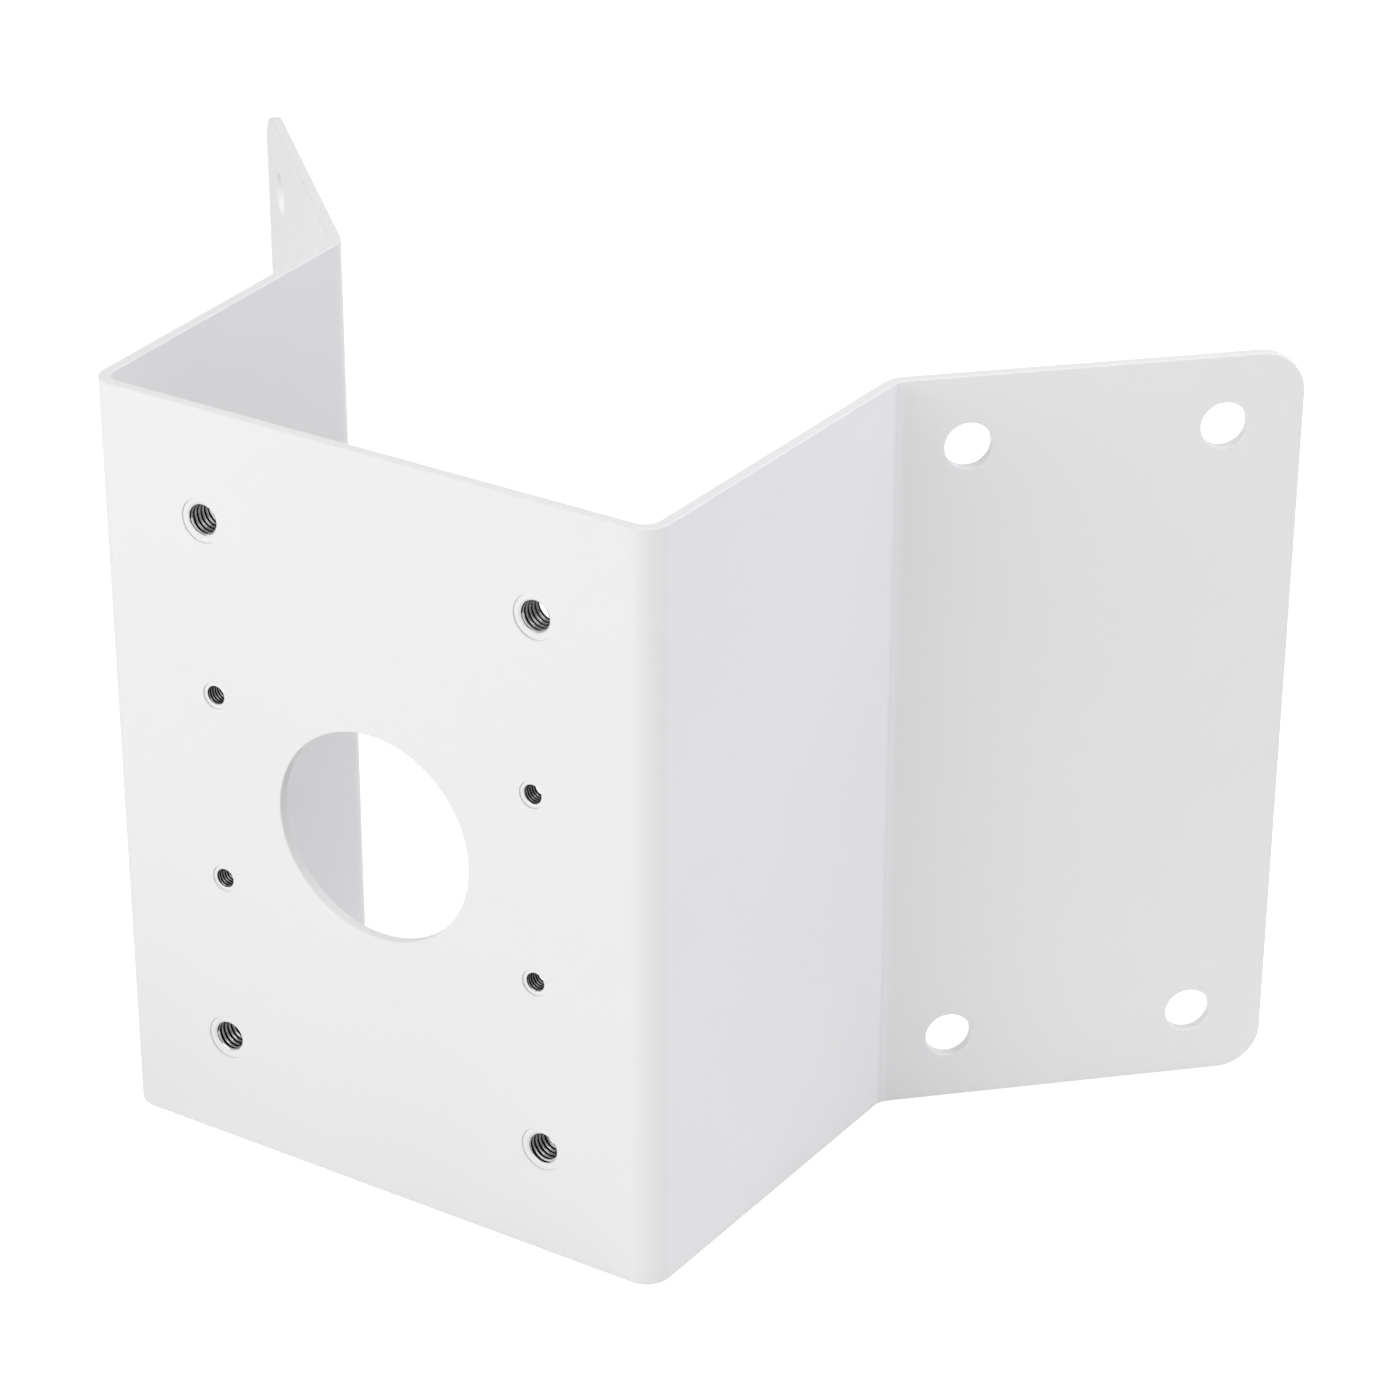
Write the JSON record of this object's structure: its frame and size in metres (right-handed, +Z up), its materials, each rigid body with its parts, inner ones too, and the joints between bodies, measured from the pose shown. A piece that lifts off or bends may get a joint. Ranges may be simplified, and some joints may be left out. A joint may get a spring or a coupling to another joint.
{
  "type": "outside corner mount adapter",
  "caption": "Folded steel bracket that fits round an outside corner of a building, with flared wings with screw holes and a flat front plate with threaded nuts and a cable hole.",
  "frame": {"origin": "centre of the cable hole, on the outer face of the front plate", "axes": "+Z up; +Y from the front plate back towards the corner of the building; +X across the front plate, to the right for someone who faces it"},
  "size_m": [0.2842, 0.1575, 0.183],
  "materials": {
    "white_coat": "satin white powder coat on steel sheet",
    "coated_nut": "satin white powder coat on a steel nut",
    "bare_thread": "dark plated steel thread, left bare by the coat"
  },
  "bodies": {
    "root": {"corner_bracket": "white_coat", "m8_nut_upper_left": "coated_nut", "m8_nut_upper_right": "coated_nut", "m8_nut_lower_left": "coated_nut", "m8_nut_lower_right": "coated_nut", "m5_nut_upper_left": "coated_nut", "m5_nut_upper_right": "coated_nut", "m5_nut_lower_left": "coated_nut", "m5_nut_lower_right": "coated_nut"}
  },
  "joints": []
}
